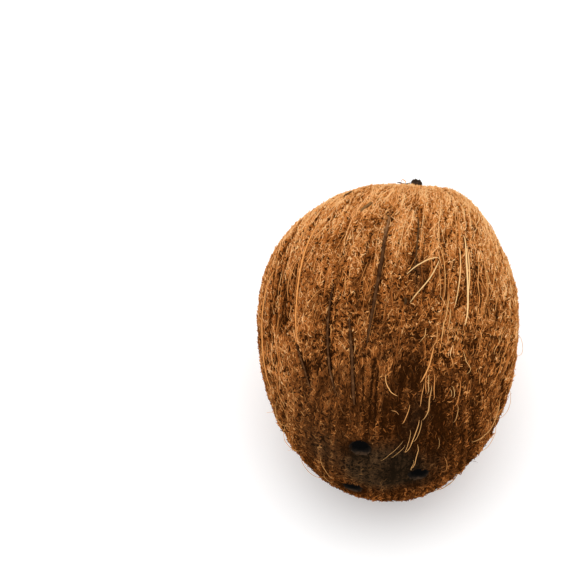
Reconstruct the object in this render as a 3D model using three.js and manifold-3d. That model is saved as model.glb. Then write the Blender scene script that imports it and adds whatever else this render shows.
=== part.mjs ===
// A whole brown coconut, dehusked to its coir-covered shell and lying on its side.
// Millimetres, +Z up. The nut's long axis runs along Y: the three eyes face -Y, the pointed apex faces +Y.
// The origin is the middle of the nut's box seen from above, on the surface that it rests on.
import * as THREE from "three";
import { mergeVertices } from "three/addons/utils/BufferGeometryUtils.js";
import Module from "manifold-3d";

// Driving dimensions.
const LENGTH = 145.5; // eye end to the point where the flanks would meet
const GIRTH_RADIUS = 50;
const GIRTH_STATION = 0.474; // share of the length from the eye end to the widest girth
const EYE_END_POWER = 0.77; // under 1 makes the eye end blunter than an ellipsoid
const APEX_TAPER_POWER = 1.5; // over 1 keeps the flanks full before they taper

const LOBE_COUNT = 3; // long low ridges, one for each seam of the shell
const LOBE_HEIGHT = 1.53;
const LOBE_PHASE = 0.575; // radians from +X towards +Z
const OVAL_HEIGHT = 1.4; // the girth is a little oval
const OVAL_PHASE = 2.335;
const APEX_LEAN = [11.6, -1.9]; // x and z: the nut grew a little crooked, so both ends lean aside
const EYE_END_LEAN = [-2.7, 2.7];
const LUMPS = [
  // height, waves round the girth, waves along the nut, phase
  [0.57, 2, 1.5, -2.68],
  [0.58, 5, 2.0, 0.08],
  [0.14, 3, 3.5, 0.19],
];

const SCAR_RADIUS = 4; // the blunt end of the apex, where the flower sat
const SCAR_AND_STUB = [
  // the scar's low dome and the dry stub on it: radius, distance past the end of the flanks
  [3.4, 1.0],
  [2.4, 1.6],
  [2.1, 5.6],
  [1.4, 7.0],
  [0, 7.0],
];

const EYE_COUNT = 3;
const EYE_RADIUS = 4.4; // of the hollow that each eye sits in
const EYE_DEPTH = 1.7;
const EYE_OFFSET = 15.5; // from the middle of the three eyes to an eye's middle
const EYE_PHASE = -0.083; // radians from +X towards +Z
const EYES_SHIFT_X = -2; // the middle of the three eyes sits a little off the pole

const REST_PITCH = 2.9; // degrees that the apex is lifted when the nut lies balanced on its belly
const FLAT_SPOT_DEPTH = 0.5; // how much the belly is flattened where the nut rests

// Mesh density.
const SEGMENTS_ROUND = 64;
const EYE_END_STEPS = 16;
const APEX_STEPS = 22;
const EYE_SEGMENTS = 28;
const EYE_RINGS = 18;
const MERGE_DISTANCE = 1e-4;

const eyeEndLength = GIRTH_STATION * LENGTH;
const apexLength = (1 - GIRTH_STATION) * LENGTH;

const wasm = await Module();
wasm.setup();

// A point of the nut's half outline, as (radius, place on the axis), towards the eye end.
// The turn runs from 0 at the eye end's pole to a quarter circle at the girth.
function eyeEndPoint(turn) {
  return new THREE.Vector2(
    GIRTH_RADIUS * Math.sin(turn) ** EYE_END_POWER,
    -eyeEndLength * Math.cos(turn),
  );
}

// The same towards the apex, at a share of the way from 0 at the girth to 1 at the tip.
function apexPoint(share) {
  const taper = Math.cos((Math.PI / 2) * share ** APEX_TAPER_POWER);
  return new THREE.Vector2(GIRTH_RADIUS * taper, apexLength * share);
}

// The share at which the flanks have tapered to the scar's radius.
function scarShare() {
  const turn = Math.acos(SCAR_RADIUS / GIRTH_RADIUS) / (Math.PI / 2);
  return turn ** (1 / APEX_TAPER_POWER);
}

function outline() {
  const points = [new THREE.Vector2(0, -eyeEndLength)];
  for (let i = 1; i <= EYE_END_STEPS; i++)
    points.push(eyeEndPoint((Math.PI / 2) * (i / EYE_END_STEPS)));
  for (let i = 1; i <= APEX_STEPS; i++)
    points.push(apexPoint(scarShare() * (i / APEX_STEPS)));
  const scar = apexPoint(scarShare()).y;
  for (const [radius, past] of SCAR_AND_STUB) points.push(new THREE.Vector2(radius, scar + past));
  return points;
}

// How far the skin stands from the plain turned outline, at an angle round the nut and a place on its axis.
function swelling(angle, y) {
  const station = (y + eyeEndLength) / LENGTH;
  let height = LOBE_HEIGHT * Math.cos(LOBE_COUNT * (angle - LOBE_PHASE));
  height += OVAL_HEIGHT * Math.cos(2 * (angle - OVAL_PHASE));
  for (const [size, round, along, phase] of LUMPS)
    height += size * Math.sin(round * angle + 2 * Math.PI * along * station + phase);
  return height;
}

// How far aside the nut's middle line has leant, as [x, z], at a place on its axis.
function leanAt(y) {
  const reach = y > 0 ? APEX_LEAN : EYE_END_LEAN;
  const share = Math.min(Math.abs(y) / (y > 0 ? apexLength : eyeEndLength), 1);
  return reach.map((most) => most * share ** 2);
}

// Moves each point of the turned body out by the swelling, and leans both ends.
function growNaturally(geometry) {
  const place = geometry.getAttribute("position");
  for (let i = 0; i < place.count; i++) {
    const x = place.getX(i);
    const y = place.getY(i);
    const z = place.getZ(i);
    const radius = Math.hypot(x, z);
    // Full swelling at the girth, fading with the radius, so that both poles stay closed.
    const grown = radius / GIRTH_RADIUS;
    const scale = radius > 0 ? 1 + (swelling(Math.atan2(z, x), y) * grown) / radius : 1;
    const [leanX, leanZ] = leanAt(y);
    place.setXYZ(i, x * scale + leanX, y, z * scale + leanZ);
  }
  return geometry;
}

// Turns a piece of the nut, made about its own axis, to the way that the nut lies.
function laidDown(geometry) {
  return geometry.rotateX(THREE.MathUtils.degToRad(REST_PITCH));
}

// A closed three.js geometry as a manifold-3d solid, and back.
function solidOf(geometry) {
  const bare = geometry.clone();
  bare.deleteAttribute("normal");
  bare.deleteAttribute("uv");
  const merged = mergeVertices(bare, MERGE_DISTANCE);
  return new wasm.Manifold(
    new wasm.Mesh({
      numProp: 3,
      vertProperties: new Float32Array(merged.attributes.position.array),
      triVerts: new Uint32Array(merged.index.array),
    }),
  );
}

function geometryOf(solid) {
  const mesh = solid.getMesh();
  const geometry = new THREE.BufferGeometry();
  geometry.setAttribute("position", new THREE.BufferAttribute(mesh.vertProperties, 3));
  geometry.setIndex(new THREE.BufferAttribute(mesh.triVerts, 1));
  geometry.computeVertexNormals();
  return geometry;
}

// The nut before anything is cut from it.
function nutBody() {
  const turned = new THREE.LatheGeometry(outline(), SEGMENTS_ROUND);
  return solidOf(laidDown(growNaturally(turned)));
}

// A ball that scoops out one eye: the cap of it that reaches into the nut is as wide and as deep as the eye.
function eyeScoop(index) {
  const angle = EYE_PHASE + (2 * Math.PI * index) / EYE_COUNT;
  const x = EYES_SHIFT_X + EYE_OFFSET * Math.cos(angle);
  const z = EYE_OFFSET * Math.sin(angle);
  const turn = Math.asin((Math.hypot(x, z) / GIRTH_RADIUS) ** (1 / EYE_END_POWER));
  const skinY = eyeEndPoint(turn).y;
  const [leanX, leanZ] = leanAt(skinY);
  const ballRadius = (EYE_RADIUS ** 2 + EYE_DEPTH ** 2) / (2 * EYE_DEPTH);
  const ball = new THREE.SphereGeometry(ballRadius, EYE_SEGMENTS, EYE_RINGS);
  ball.translate(x + leanX, skinY + EYE_DEPTH - ballRadius, z + leanZ);
  return solidOf(laidDown(ball));
}

// A slab that takes off everything under the flat spot.
function groundSlab(bottom) {
  const thickness = 20;
  const slab = new THREE.BoxGeometry(LENGTH, 2 * LENGTH, thickness);
  slab.translate(0, 0, bottom + FLAT_SPOT_DEPTH - thickness / 2);
  return solidOf(slab);
}

function coconut() {
  let nut = nutBody();
  const bottom = nut.boundingBox().min[2];
  nut = nut.subtract(groundSlab(bottom));
  for (let i = 0; i < EYE_COUNT; i++) nut = nut.subtract(eyeScoop(i));
  const geometry = geometryOf(nut);
  geometry.computeBoundingBox();
  const { min, max } = geometry.boundingBox;
  geometry.translate(-(min.x + max.x) / 2, -(min.y + max.y) / 2, -min.z);
  const husk = new THREE.MeshStandardMaterial({
    color: 0x8a5a2e,
    roughness: 0.9,
    metalness: 0,
  });
  const mesh = new THREE.Mesh(geometry, husk);
  mesh.name = "coconut";
  return mesh;
}

const part = new THREE.Group();
part.add(coconut());
export default part;
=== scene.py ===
# %% [markdown]
# # A whole brown coconut
# A coconut in a shop has lost its smooth outer skin and most of its husk. What is left is the hard
# shell, with a mat of coir on it: short curly ends of torn fibre, longer strands that still run from
# the eyes to the tip, and a few pale ones that hang loose.
#
# The mat is what the eye reads as "coconut", so this lesson spends its faces there. One closed skin
# carries the nut's form, its seams and its pits. Real fibres, grown by Geometry Nodes, lie on it.

# %% Load the nut's solid
import math

import bmesh
import bpy
import numpy as np
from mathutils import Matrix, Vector
from mathutils.bvhtree import BVHTree


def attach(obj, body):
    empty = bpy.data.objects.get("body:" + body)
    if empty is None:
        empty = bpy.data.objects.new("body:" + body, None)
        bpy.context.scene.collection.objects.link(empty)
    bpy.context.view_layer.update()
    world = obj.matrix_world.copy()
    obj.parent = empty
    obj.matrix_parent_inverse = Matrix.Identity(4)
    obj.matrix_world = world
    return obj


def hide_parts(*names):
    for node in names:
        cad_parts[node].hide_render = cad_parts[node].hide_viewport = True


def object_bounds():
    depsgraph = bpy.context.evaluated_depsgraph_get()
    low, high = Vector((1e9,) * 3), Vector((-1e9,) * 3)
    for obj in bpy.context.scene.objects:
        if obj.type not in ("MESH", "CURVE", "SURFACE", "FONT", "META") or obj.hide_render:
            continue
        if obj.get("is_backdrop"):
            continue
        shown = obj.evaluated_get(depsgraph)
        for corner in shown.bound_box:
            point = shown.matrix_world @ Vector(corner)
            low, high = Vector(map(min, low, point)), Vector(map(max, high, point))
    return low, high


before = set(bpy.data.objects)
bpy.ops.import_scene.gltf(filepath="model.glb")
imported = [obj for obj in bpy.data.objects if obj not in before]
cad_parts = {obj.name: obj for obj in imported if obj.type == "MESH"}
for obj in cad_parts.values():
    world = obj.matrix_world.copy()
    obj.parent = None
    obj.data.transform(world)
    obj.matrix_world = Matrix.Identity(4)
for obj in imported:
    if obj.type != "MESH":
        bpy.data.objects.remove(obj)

cad_low, cad_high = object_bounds()
print("box of the solid, mm:", [round(1000 * side, 1) for side in cad_high - cad_low])

# %% [markdown]
# ## Finding a place on the nut
# The nut lies on its belly with its apex lifted a little, and it grew slightly crooked. So places on
# it are given as a grower would: how far along the nut from its widest girth, towards the apex or
# back towards the eyes, and at what angle round it. A ray from the nut's middle line, cast out
# through the solid, turns those two numbers into a point on the husk.

# %% The nut's own directions
MM = 0.001
GIRTH_MIDDLE = Vector((0.61, -5.94, 50.19)) * MM
REST_PITCH = math.radians(2.9)
LONG = Vector((0, math.cos(REST_PITCH), math.sin(REST_PITCH)))
SIDE = Vector((1, 0, 0))
UP = SIDE.cross(LONG)
GIRTH_RADIUS = 50 * MM
APEX_REACH = 76.5 * MM  # from the girth to where the flanks would meet
EYE_REACH = 69.0 * MM
APEX_LEAN = (11.6 * MM, -1.9 * MM)  # how far aside each end has grown, to its side and up
EYE_LEAN = (-2.7 * MM, 2.7 * MM)

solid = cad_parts["coconut"]


def rays_onto(mesh):
    """What rays are cast at, to find places on a mesh."""
    return BVHTree.FromPolygons([v.co for v in mesh.vertices], [p.vertices for p in mesh.polygons])


solid_rays = rays_onto(solid.data)


def middle_line(station):
    """The point of the leaning middle line, at a distance from the girth."""
    reach, lean = (APEX_REACH, APEX_LEAN) if station > 0 else (EYE_REACH, EYE_LEAN)
    share = min(abs(station) / reach, 1) ** 2
    return GIRTH_MIDDLE + LONG * station + (SIDE * lean[0] + UP * lean[1]) * share


def outward(angle):
    """The direction straight out of the nut, at an angle in degrees from its side to its top."""
    turn = math.radians(angle)
    return SIDE * math.cos(turn) + UP * math.sin(turn)


def on_husk(station, angle, height=0, rays=solid_rays):
    """A point at a station and height in mm and an angle in degrees."""
    place, normal, *_ = rays.ray_cast(middle_line(station * MM), outward(angle))
    return place + normal * height * MM


print("top of the girth:", [round(c, 4) for c in on_husk(0, 90)])

# %% [markdown]
# ## Node sums that read as sums
# Geometry Nodes and materials do every sum with a node of its own, and a tree built one node at a
# time is hard to read. A value is wrapped here in a small class, so that `a * b + c` adds the nodes
# and links them.

# %% A value that flows through a node tree
class Flow:
    """The output of a node, which can be added, multiplied and so on."""

    def __init__(self, socket):
        self.socket = socket
        self.tree = socket.id_data

    def __add__(self, other):
        return combined("ADD", self, other)

    def __sub__(self, other):
        return combined("SUBTRACT", self, other)

    def __mul__(self, other):
        return combined("MULTIPLY", self, other)

    def __truediv__(self, other):
        return combined("DIVIDE", self, other)

    def other(self, name):
        """Another output of the same node."""
        return Flow(next(s for s in self.socket.node.outputs if s.enabled and s.name == name))


# %% Nodes added in one line
def add(tree, kind, *plugs, **settings):
    """Adds a node, sets its options, and plugs its inputs in order. None leaves an input alone."""
    made = tree.nodes.new(kind)
    for name, value in settings.items():
        setattr(made, name, value)
    for socket, plug in zip([s for s in made.inputs if s.enabled], plugs):
        if isinstance(plug, Flow):
            tree.links.new(plug.socket, socket)
        elif plug is not None:
            socket.default_value = plug
    return Flow(next(s for s in made.outputs if s.enabled))


def is_vector(value):
    if isinstance(value, Flow):
        return value.socket.type in ("VECTOR", "RGBA")
    return not isinstance(value, (int, float))


def combined(operation, first, second):
    """Two values joined by a sum. A vector times a number is scaled by it."""
    if is_vector(first) and operation == "MULTIPLY" and not is_vector(second):
        return add(first.tree, "ShaderNodeVectorMath", first, second, operation="SCALE")
    kind = "ShaderNodeVectorMath" if is_vector(first) else "ShaderNodeMath"
    return add(first.tree, kind, first, second, operation=operation)


def maths(operation, first, *others, clamp=False):
    return add(first.tree, "ShaderNodeMath", first, *others, operation=operation, use_clamp=clamp)


def directions(operation, first, *others):
    return add(first.tree, "ShaderNodeVectorMath", first, *others, operation=operation)


def vector(tree, x=0.0, y=0.0, z=0.0):
    return add(tree, "ShaderNodeCombineXYZ", x, y, z)


# %% Trees, their inputs, and what they read and store
class NodeTree:
    """A geometry tree with named inputs, and the few things that every tree here does."""

    def __init__(self, title, **sizes):
        self.tree = bpy.data.node_groups.new(title, "GeometryNodeTree")
        face = self.tree.interface
        face.new_socket("Geometry", in_out="OUTPUT", socket_type="NodeSocketGeometry")
        face.new_socket("Geometry", in_out="INPUT", socket_type="NodeSocketGeometry")
        for name, value in sizes.items():
            kind = "NodeSocketInt" if isinstance(value, int) else "NodeSocketFloat"
            face.new_socket(name, in_out="INPUT", socket_type=kind).default_value = value
        face.new_socket("material", in_out="INPUT", socket_type="NodeSocketMaterial")
        self.entry = self.tree.nodes.new("NodeGroupInput")

    def input(self, name):
        return Flow(self.entry.outputs[name])

    def add(self, kind, *plugs, **settings):
        return add(self.tree, kind, *plugs, **settings)

    def read(self, name, kind="FLOAT"):
        return self.add("GeometryNodeInputNamedAttribute", name, data_type=kind)

    def store(self, geometry, name, value, kind="FLOAT", domain="POINT"):
        return self.add(
            "GeometryNodeStoreNamedAttribute", geometry, None, name, value, data_type=kind, domain=domain
        )

    def random(self, low, high, salt, by_point=False):
        """A number for each fibre. Its salt keeps it apart from the tree's other random numbers."""
        seed = self.input("seed") + float(salt)
        which = self.add("GeometryNodeInputIndex") if by_point else self.read("fibre", "INT")
        return self.add("FunctionNodeRandomValue", low, high, which, seed)

    def noise(self, place, scale, detail=2.0, roughness=0.5):
        return self.add("ShaderNodeTexNoise", place, scale, detail, roughness)

    def finish(self, geometry):
        """Ends the tree as every tree here ends: real faces, smooth shading and a material."""
        geometry = self.add("GeometryNodeRealizeInstances", geometry)
        geometry = self.add("GeometryNodeSetShadeSmooth", geometry, None, True)
        geometry = self.add("GeometryNodeSetMaterial", geometry, None, self.input("material"))
        self.tree.links.new(geometry.socket, self.tree.nodes.new("NodeGroupOutput").inputs[0])


# %% Growing a piece from a tree
def put_in_scene(name, data):
    made = bpy.data.objects.new(name, data)
    bpy.context.scene.collection.objects.link(made)
    return made


def grow(name, base, tree, **values):
    """Runs a tree on a mesh with these input values, and returns what it makes as a plain piece."""
    piece = put_in_scene(name, base)
    modifier = piece.modifiers.new(tree.tree.name, "NODES")
    modifier.node_group = tree.tree
    for item in tree.tree.interface.items_tree:
        if item.in_out == "INPUT" and item.name in values:
            modifier[item.identifier] = values[item.name]
    depsgraph = bpy.context.evaluated_depsgraph_get()
    made = bpy.data.meshes.new_from_object(piece.evaluated_get(depsgraph), depsgraph=depsgraph)
    piece.modifiers.clear()
    piece.data = made
    made.name = name
    made.calc_loop_triangles()
    print(f"{name}: {len(made.loop_triangles)} triangles")
    return piece

# %% [markdown]
# ## The studio
# A nut lies on a plain white table. One large soft light hangs above it and a little in front, and an
# even white sky fills in from all round, so the shadow under the nut stays soft and pale. The table
# throws a little light back from below. The camera looks down on the nut from its eye end.

# %% Camera
CAMERA_PLACE = (-0.02432, -0.55150, 0.70298)
CAMERA_TILT = math.radians(90 - 48.964)
CAMERA_TURN = math.radians(1.559)
SENSOR = 36.0
LENS = 135.04

camera_data = bpy.data.cameras.new("camera")
camera_data.sensor_width = SENSOR
camera_data.lens = LENS
camera = put_in_scene("camera", camera_data)
camera.location = CAMERA_PLACE
camera.rotation_euler = (CAMERA_TILT, 0, CAMERA_TURN)
bpy.context.scene.camera = camera
print("camera distance, m:", round((camera.location - GIRTH_MIDDLE).length, 3))

# %% Table
TABLE_SIZE = 6.0
TABLE_ALBEDO = 0.8
TABLE_ROUGHNESS = 0.8
TABLE_GLOW = 0.25  # a light table, which keeps the shadow on it pale
WHITE = (1, 1, 1, 1)


def new_material(name, roughness):
    """A material, with its node tree and its shader."""
    made = bpy.data.materials.new(name)
    made.use_nodes = True
    shader = made.node_tree.nodes["Principled BSDF"]
    shader.inputs["Roughness"].default_value = roughness
    return made, made.node_tree, shader


def make_table():
    mesh = bpy.data.meshes.new("table")
    half = TABLE_SIZE / 2
    corners = [(-half, -half, 0), (half, -half, 0), (half, half, 0), (-half, half, 0)]
    mesh.from_pydata(corners, [], [(0, 1, 2, 3)])
    finish, _, shader = new_material("white table", TABLE_ROUGHNESS)
    shader.inputs["Base Color"].default_value = (TABLE_ALBEDO, TABLE_ALBEDO, TABLE_ALBEDO, 1)
    shader.inputs["Emission Color"].default_value = WHITE
    shader.inputs["Emission Strength"].default_value = TABLE_GLOW
    mesh.materials.append(finish)
    table = put_in_scene("table", mesh)
    table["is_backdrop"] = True
    return table


table = make_table()
print("table, m:", [round(side, 2) for side in table.dimensions])

# %% Lights
KEY_SIZE = 1.5
KEY_PLACE = (-0.05, -0.25, 1.45)
KEY_POWER = 13
SKY_STRENGTH = 0.88


def make_light(name, place, size, power):
    lamp = bpy.data.lights.new(name, "AREA")
    lamp.size = size
    lamp.energy = power
    light = put_in_scene(name, lamp)
    light.location = place
    light.rotation_euler = (GIRTH_MIDDLE - light.location).to_track_quat("-Z", "Y").to_euler()
    return light


key = make_light("soft box", KEY_PLACE, KEY_SIZE, KEY_POWER)
print("height of the light, m:", round(key.location.z, 2))
sky = bpy.data.worlds.new("studio")
sky.use_nodes = True
sky.node_tree.nodes["Background"].inputs["Strength"].default_value = SKY_STRENGTH
sky.node_tree.nodes["Background"].inputs["Color"].default_value = WHITE
bpy.context.scene.world = sky
bpy.context.scene.view_settings.view_transform = "Standard"

# %% [markdown]
# ## The husk's skin
# Under the loose fibres the husk is one closed skin. A sphere made of rings would bunch its faces up
# at the two ends, where the eyes and the tip need even ones, so it starts as a cube whose sides are
# cut into small squares and blown up round. Each point is then moved along its own ray from the
# nut's middle until it meets the solid, and a few rounds of smoothing take the solid's flat facets
# away. The cube's own flat layout becomes the skin's map.

# %% A blown-up cube on the solid
SQUARES_PER_SIDE = 106
SKIN_REACH = 74.6 * MM  # the skin stops here, under the dry stub at the tip
SMOOTHING_ROUNDS = 8


def blown_up_cube():
    cube = bmesh.new()
    cube.loops.layers.uv.new("OFBake")
    bmesh.ops.create_cube(cube, size=2, calc_uvs=True)
    bmesh.ops.subdivide_edges(cube, edges=cube.edges[:], cuts=SQUARES_PER_SIDE - 1, use_grid_fill=True)
    mesh = bpy.data.meshes.new("husk_skin")
    cube.to_mesh(mesh)
    cube.free()
    return mesh


def places_of(mesh):
    flat = np.empty(len(mesh.vertices) * 3, np.float32)
    mesh.vertices.foreach_get("co", flat)
    return flat.reshape(-1, 3).astype(float)


def smoothed(mesh, places, rounds):
    """Each point moves to the middle of its neighbours, a few times over."""
    ends = np.empty(len(mesh.edges) * 2, np.int32)
    mesh.edges.foreach_get("vertices", ends)
    first, second = ends.reshape(-1, 2).T
    neighbours = np.bincount(np.r_[first, second], minlength=len(places))
    for _ in range(rounds):
        total = [np.bincount(first, places[second, k], len(places)) for k in range(3)]
        back = [np.bincount(second, places[first, k], len(places)) for k in range(3)]
        places = (np.array(total) + back).T / neighbours[:, None]
    return places


skin_mesh = blown_up_cube()
even = np.tan(places_of(skin_mesh) * math.pi / 4)  # squares of even size on the sphere
stretched = even / np.linalg.norm(even, axis=1)[:, None] * (1, EYE_REACH / GIRTH_RADIUS, 1)
skin_places = []
for x, y, z in stretched:
    ray = SIDE * x + LONG * y + UP * z
    place = solid_rays.ray_cast(GIRTH_MIDDLE, ray)[0]
    past_the_end = max((place - GIRTH_MIDDLE).dot(LONG) - SKIN_REACH, 0)
    skin_places.append(place - LONG * past_the_end)
skin_places = smoothed(skin_mesh, np.array(skin_places), SMOOTHING_ROUNDS)
skin_places[:, 2] = np.maximum(skin_places[:, 2], 0)
print("skin points:", len(skin_places))

# %% [markdown]
# ## What grows where
# The husk isn't the same all over. It is dark and worn at the eyes, pale and felted on the apex
# shoulder, and bare and black in its seams. These facts are stored on the skin's points as plain
# numbers, and both the materials and the node trees read them.

# %% Station and angle of every point of the skin
def smooth_step(low, high, value):
    share = np.clip((value - low) / (high - low), 0, 1)
    return share * share * (3 - 2 * share)


def fading(low, high, value):
    """1 up to the low value, and 0 from the high one on."""
    return 1 - smooth_step(low, high, value)


def write(mesh, name, values):
    kind = "FLOAT" if np.ndim(values) == 1 else "FLOAT_VECTOR"
    field = "value" if kind == "FLOAT" else "vector"
    mesh.attributes.new(name, kind, "POINT").data.foreach_set(field, np.ravel(values).astype(np.float32))


long_way, side_way, up_way = (np.array(way) for way in (LONG, SIDE, UP))
from_middle = skin_places - np.array(GIRTH_MIDDLE)
station = from_middle @ long_way
toward_apex = station > 0
share_grown = np.minimum(np.abs(station) / np.where(toward_apex, APEX_REACH, EYE_REACH), 1) ** 2
aside = from_middle @ side_way - share_grown * np.where(toward_apex, APEX_LEAN[0], EYE_LEAN[0])
above = from_middle @ up_way - share_grown * np.where(toward_apex, APEX_LEAN[1], EYE_LEAN[1])
angle = np.degrees(np.arctan2(above, aside))
radius_here = np.hypot(aside, above)


def bump_at(at, turn, along, around):
    """A soft spot on the skin: 1 at this station and angle, fading over these reaches in mm."""
    off = np.radians((angle - turn + 180) % 360 - 180) * radius_here
    return np.exp(-(((station / MM - at) / along) ** 2) - (off / MM / around) ** 2)


def with_spots(values, spots):
    """Numbers on the skin's points, changed by a soft spot for each row."""
    for at, turn, along, around, change in spots:
        values = values + change * bump_at(at, turn, along, around)
    return values


print("stations from", round(station.min() / MM, 1), "to", round(station.max() / MM, 1), "mm")

# %% Where the eyes are
EYE_OFFSET = 15.5 * MM  # from the middle of the three eyes to an eye's middle
EYES_SHIFT = -2.0 * MM
EYE_RADIUS = 4.4 * MM
EYE_ANGLES = (-4.8, 115.2, 235.2)


def eye_middle(angle):
    """Where an eye sits, found by a ray from inside the nut out through its eye end."""
    spot = SIDE * (EYES_SHIFT + EYE_OFFSET * math.cos(math.radians(angle)) + EYE_LEAN[0])
    spot += UP * (EYE_OFFSET * math.sin(math.radians(angle)) + EYE_LEAN[1])
    return solid_rays.ray_cast(GIRTH_MIDDLE + spot, -LONG)[0]


eye_places = [eye_middle(turn) for turn in EYE_ANGLES]
to_eye = np.min([np.linalg.norm(skin_places - np.array(eye), axis=1) for eye in eye_places], axis=0)
print("eyes at, mm:", [[round(c / MM, 1) for c in eye] for eye in eye_places])

# %% Low and high spots of the shoulder by the stub
SWELLINGS = [  # station and angle, reach along and round the nut, and height, in mm
    (57, 95, 9, 9, -1.3),
    (57, 74, 9, 5, -1.0),
    (50, 53, 12, 9, 1.0),
]
straight_out = from_middle / np.linalg.norm(from_middle, axis=1)[:, None]
for at, turn, along, around, height in SWELLINGS:
    skin_places += straight_out * (height * MM * bump_at(at, turn, along, around))[:, None]
skin_mesh.vertices.foreach_set("co", skin_places.ravel())
print("most that the shoulder sinks, mm:", min(height for *_, height in SWELLINGS))

# %% [markdown]
# ## Which way the coir lies
# Seen from above, the grain doesn't simply run from end to end. It drifts a little round the nut, more
# on one flank than on the other, and towards the eyes it stops closing in and lies straight. Fibres
# need that as a direction on the skin, and streaks need it as a number that stays the same along a
# line of the grain, so both are worked out here and stored on the skin's points.

# %% Lines of the grain
DRIFT = 0.45  # most degrees that the grain drifts round the nut for each mm along it
LEAST_DRIFT = 0.01  # the square of its smallest share, which keeps the change smooth
DRIFT_FREE_ANGLE = 50  # degrees, where it runs almost from end to end
STRAIGHT_BELOW = (-48 * MM, -16 * MM)  # stations where the grain lies fully straight, and where it begins to
GRAIN_STRETCH = 0.14  # how slowly streaks change along the nut, against across it

drift = DRIFT * np.sqrt(np.sin(np.radians(angle - DRIFT_FREE_ANGLE) / 2) ** 2 + LEAST_DRIFT)
straight = fading(*STRAIGHT_BELOW, station)
line_angle = np.radians(angle + drift * station / MM)
lines_aside = (1 - straight) * GIRTH_RADIUS / MM * np.cos(line_angle) + straight * aside / MM
lines_up = (1 - straight) * GIRTH_RADIUS / MM * np.sin(line_angle)
grain = np.stack([lines_aside, lines_up, station / MM * GRAIN_STRETCH], axis=1)
print("drift of the grain, degrees per mm:", round(float(drift.min()), 2), "to", round(float(drift.max()), 2))

# %% Direction of the grain
STRAIGHTENED = 0.9  # how much of the drifting direction is lost where the grain lies straight
NOT_NOTHING = 1e-9  # keeps a direction from being divided by nothing at the poles


def normals_of(mesh):
    mesh.update()
    flat = np.empty(len(mesh.vertices) * 3, np.float32)
    mesh.vertex_normals.foreach_get("vector", flat)
    return flat.reshape(-1, 3).astype(float)


out = normals_of(skin_mesh)
end_to_end = long_way - out * (out @ long_way)[:, None]
end_to_end /= np.linalg.norm(end_to_end, axis=1)[:, None] + NOT_NOTHING
slant = np.arctan(np.radians(drift) * radius_here / MM)[:, None]
slanted = end_to_end * np.cos(slant) - np.cross(out, end_to_end) * np.sin(slant)
straight_on = np.cross(out, side_way)
straight_on *= np.sign((straight_on * slanted).sum(axis=1))[:, None]
lie = slanted * (1 - STRAIGHTENED * straight[:, None]) + straight_on * straight[:, None]
print("most slant of the grain, degrees:", round(float(np.degrees(slant.max())), 1))

# %% Seams
SEAMS = [  # each seam's path, as (station in mm, angle in degrees)
    [(20, 92.7), (12, 93.6), (-3, 95.3), (-12, 96.9), (-24, 99.2), (-37, 102)],
    [(-27, 110), (-41, 109.7), (-52, 110.9), (-57, 112)],
    [(-11, 116.7), (-20, 118.3), (-29, 120.2), (-39, 121.5), (-44.8, 122.0), (-53.2, 121.9)],
    [(-30.2, 137.7), (-35.9, 136.6), (-41.8, 135.6), (-49.2, 135.5)],
    [(38, 214), (12, 210), (-14, 212), (-40, 217), (-54, 226)],
    [(30, 338), (8, 334), (-20, 331), (-44, 327)],
]
SEAM_WIDTH = 1.0 * MM
SEAM_END = 0.35  # how wide a seam still is at its two ends
SEAM_FULLNESS = 0.6  # under 1 keeps a seam deep until close to its ends
SEAM_SEARCH = 60 * MM  # only points as near as this to a seam's middle are looked at


def seam_points(path, steps=60):
    """Close points along a seam, and how deep it is at each of them."""
    share = np.linspace(0, len(path) - 1, steps)
    stations, angles = np.array(path, float).T
    order = np.arange(len(path))
    spots = zip(np.interp(share, order, stations), np.interp(share, order, angles))
    places = [on_husk(*spot) for spot in spots]
    depth = SEAM_END + (1 - SEAM_END) * np.sin(np.linspace(0, math.pi, steps)) ** SEAM_FULLNESS
    return np.array(places), depth


seam = np.zeros(len(skin_places))
for path in SEAMS:
    places, depths = seam_points(path)
    near = np.linalg.norm(skin_places - places.mean(axis=0), axis=1) < SEAM_SEARCH
    for place, depth in zip(places, depths):
        away = np.linalg.norm(skin_places[near] - place, axis=1)
        seam[near] = np.maximum(seam[near], depth * np.exp(-((away / (SEAM_WIDTH * depth)) ** 2)))
print("points in a seam:", int((seam > 0.5).sum()))

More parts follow.
